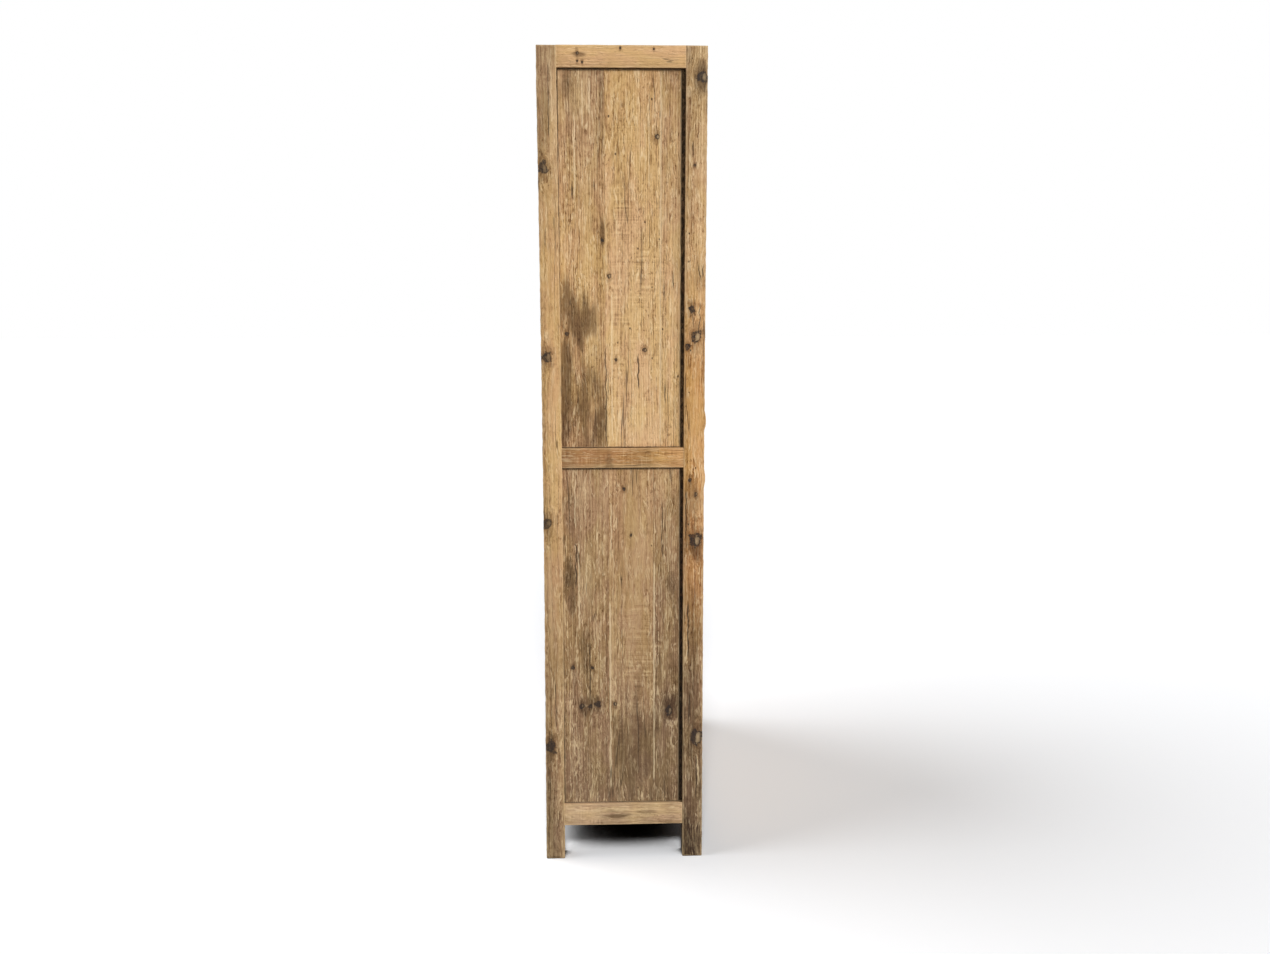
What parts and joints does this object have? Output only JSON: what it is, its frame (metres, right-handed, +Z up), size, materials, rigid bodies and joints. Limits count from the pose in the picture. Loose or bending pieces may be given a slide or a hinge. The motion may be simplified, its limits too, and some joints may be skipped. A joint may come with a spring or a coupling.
{
  "type": "drawer cabinet",
  "caption": "Tall narrow-sided drawer cabinet of old pine: framed panel sides on square posts, inset drawers in two columns on wooden runners, iron knobs.",
  "frame": {"origin": "on the floor, under the middle of the overall box with the knobs", "axes": "+Z up; X runs across the front, from its left end to its right end as seen from the front; the drawers open towards -Y"},
  "size_m": [1, 0.423, 2],
  "materials": {
    "post_pine": "worn, waxed, matte",
    "rail_pine": "worn, waxed, matte",
    "panel_pine": "rough sawn, worn, matte",
    "drawer_pine": "worn, waxed, matte",
    "front_frame_pine": "worn, waxed, matte",
    "top_pine": "worn, matte",
    "inner_pine": "planed, raw",
    "iron": "dark, waxed, rubbed edges"
  },
  "bodies": {
    "cabinet": {"back_lower_panel": "panel_pine", "back_upper_panel": "panel_pine", "bottom_boards": "inner_pine", "centre_runners": "inner_pine", "drawer_dividers": "front_frame_pine", "drawer_stops": "inner_pine", "front_bottom_rail": "rail_pine", "front_centre_stiles": "front_frame_pine", "front_left_post": "post_pine", "front_middle_rail": "rail_pine", "front_right_post": "post_pine", "front_top_rail": "rail_pine", "left_bottom_rail": "rail_pine", "left_lower_panel": "panel_pine", "left_middle_rail": "rail_pine", "left_runners": "inner_pine", "left_top_rail": "rail_pine", "left_upper_panel": "panel_pine", "rear_bottom_rail": "rail_pine", "rear_centre_post": "inner_pine", "rear_left_post": "post_pine", "rear_middle_rail": "rail_pine", "rear_right_post": "post_pine", "rear_top_rail": "rail_pine", "right_bottom_rail": "rail_pine", "right_lower_panel": "panel_pine", "right_middle_rail": "rail_pine", "right_runners": "inner_pine", "right_top_rail": "rail_pine", "right_upper_panel": "panel_pine", "runner_screws": "iron", "top_boards": "top_pine"},
    "drawer_1_left": {"drawer_1_left": "drawer_pine", "drawer_1_left_knob": "iron"},
    "drawer_1_right": {"drawer_1_right": "drawer_pine", "drawer_1_right_knob": "iron"},
    "drawer_2_left": {"drawer_2_left": "drawer_pine", "drawer_2_left_knob": "iron"},
    "drawer_2_right": {"drawer_2_right": "drawer_pine", "drawer_2_right_knob": "iron"},
    "drawer_3_left": {"drawer_3_left": "drawer_pine", "drawer_3_left_knob": "iron"},
    "drawer_3_right": {"drawer_3_right": "drawer_pine", "drawer_3_right_knob": "iron"},
    "drawer_4_left": {"drawer_4_left": "drawer_pine", "drawer_4_left_knob": "iron"},
    "drawer_4_right": {"drawer_4_right": "drawer_pine", "drawer_4_right_knob": "iron"},
    "drawer_5_left": {"drawer_5_left": "drawer_pine", "drawer_5_left_knob": "iron"},
    "drawer_5_right": {"drawer_5_right": "drawer_pine", "drawer_5_right_knob": "iron"},
    "drawer_6_left": {"drawer_6_left": "drawer_pine", "drawer_6_left_knob": "iron"},
    "drawer_6_right": {"drawer_6_right": "drawer_pine", "drawer_6_right_knob": "iron"},
    "drawer_7_left": {"drawer_7_left": "drawer_pine", "drawer_7_left_knob": "iron"},
    "drawer_7_right": {"drawer_7_right": "drawer_pine", "drawer_7_right_knob": "iron"}
  },
  "joints": [
    {"name": "drawer_1_left_slide", "type": "slide", "parent": "cabinet", "child": "drawer_1_left", "axis": [0, -1, 0], "range_m": [0, 0.26]},
    {"name": "drawer_1_right_slide", "type": "slide", "parent": "cabinet", "child": "drawer_1_right", "axis": [0, -1, 0], "range_m": [0, 0.26]},
    {"name": "drawer_2_left_slide", "type": "slide", "parent": "cabinet", "child": "drawer_2_left", "axis": [0, -1, 0], "range_m": [0, 0.26]},
    {"name": "drawer_2_right_slide", "type": "slide", "parent": "cabinet", "child": "drawer_2_right", "axis": [0, -1, 0], "range_m": [0, 0.26]},
    {"name": "drawer_3_left_slide", "type": "slide", "parent": "cabinet", "child": "drawer_3_left", "axis": [0, -1, 0], "range_m": [0, 0.26]},
    {"name": "drawer_3_right_slide", "type": "slide", "parent": "cabinet", "child": "drawer_3_right", "axis": [0, -1, 0], "range_m": [0, 0.26]},
    {"name": "drawer_4_left_slide", "type": "slide", "parent": "cabinet", "child": "drawer_4_left", "axis": [0, -1, 0], "range_m": [0, 0.26]},
    {"name": "drawer_4_right_slide", "type": "slide", "parent": "cabinet", "child": "drawer_4_right", "axis": [0, -1, 0], "range_m": [0, 0.26]},
    {"name": "drawer_5_left_slide", "type": "slide", "parent": "cabinet", "child": "drawer_5_left", "axis": [0, -1, 0], "range_m": [0, 0.26]},
    {"name": "drawer_5_right_slide", "type": "slide", "parent": "cabinet", "child": "drawer_5_right", "axis": [0, -1, 0], "range_m": [0, 0.26]},
    {"name": "drawer_6_left_slide", "type": "slide", "parent": "cabinet", "child": "drawer_6_left", "axis": [0, -1, 0], "range_m": [0, 0.26]},
    {"name": "drawer_6_right_slide", "type": "slide", "parent": "cabinet", "child": "drawer_6_right", "axis": [0, -1, 0], "range_m": [0, 0.26]},
    {"name": "drawer_7_left_slide", "type": "slide", "parent": "cabinet", "child": "drawer_7_left", "axis": [0, -1, 0], "range_m": [0, 0.26]},
    {"name": "drawer_7_right_slide", "type": "slide", "parent": "cabinet", "child": "drawer_7_right", "axis": [0, -1, 0], "range_m": [0, 0.26]}
  ]
}
